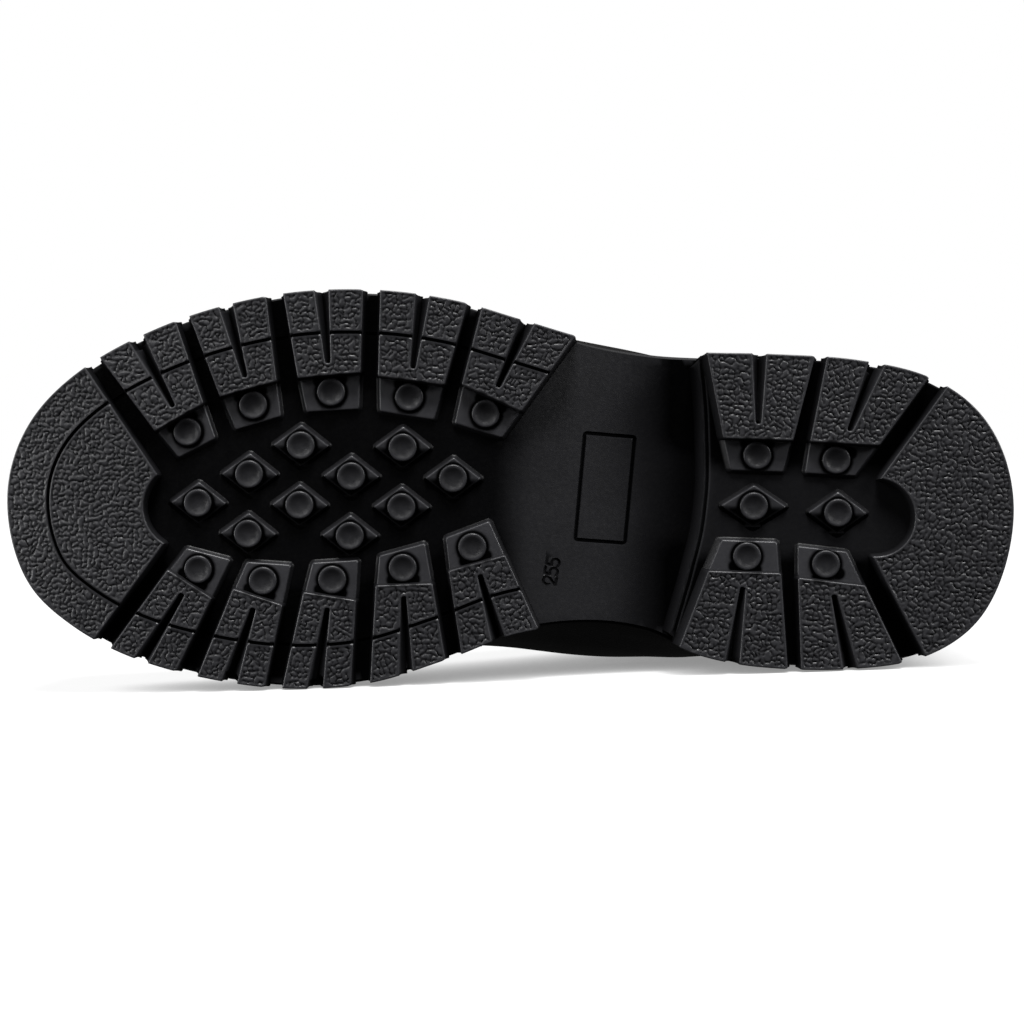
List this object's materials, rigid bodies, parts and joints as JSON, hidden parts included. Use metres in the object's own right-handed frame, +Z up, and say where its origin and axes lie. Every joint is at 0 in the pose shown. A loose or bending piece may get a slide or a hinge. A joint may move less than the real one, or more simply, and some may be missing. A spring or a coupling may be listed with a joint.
{
  "type": "steel toe boot",
  "caption": "Left lace-up work boot with a reinforced toe, lying on its inner side, with a moulded lugged rubber sole, a heel and round studs on low diamonds.",
  "frame": {"origin": "middle of the bounding box, on the floor that the boot's inner side lies on", "axes": "+Z up, the tread faces -Y, the toe points to -X, the shaft to +Y and the boot's outer side up"},
  "size_m": [0.292, 0.1828, 0.1147],
  "materials": {
    "rubber": "matt moulded rubber, pebbled on the lugs",
    "leather": "black grained work leather",
    "soft_leather": "soft black leather over foam",
    "footbed": "dark grey non-woven footbed",
    "lace": "black braided lace",
    "webbing": "black woven webbing",
    "eyelet_metal": "black lacquered metal"
  },
  "bodies": {
    "root": {"outsole": "rubber", "welt": "rubber", "insole": "footbed", "upper": "leather", "toe_cap": "leather", "heel_counter": "leather", "collar": "soft_leather", "tongue": "soft_leather", "pull_loop": "webbing", "eyelet_inner_1": "eyelet_metal", "eyelet_inner_2": "eyelet_metal", "eyelet_inner_3": "eyelet_metal", "eyelet_inner_4": "eyelet_metal", "eyelet_inner_5": "eyelet_metal", "eyelet_inner_6": "eyelet_metal", "eyelet_outer_1": "eyelet_metal", "eyelet_outer_2": "eyelet_metal", "eyelet_outer_3": "eyelet_metal", "eyelet_outer_4": "eyelet_metal", "eyelet_outer_5": "eyelet_metal", "eyelet_outer_6": "eyelet_metal", "lace_bar": "lace", "lace_crossing_1": "lace", "lace_crossing_2": "lace", "lace_crossing_3": "lace", "lace_crossing_4": "lace", "lace_crossing_5": "lace"}
  },
  "joints": []
}
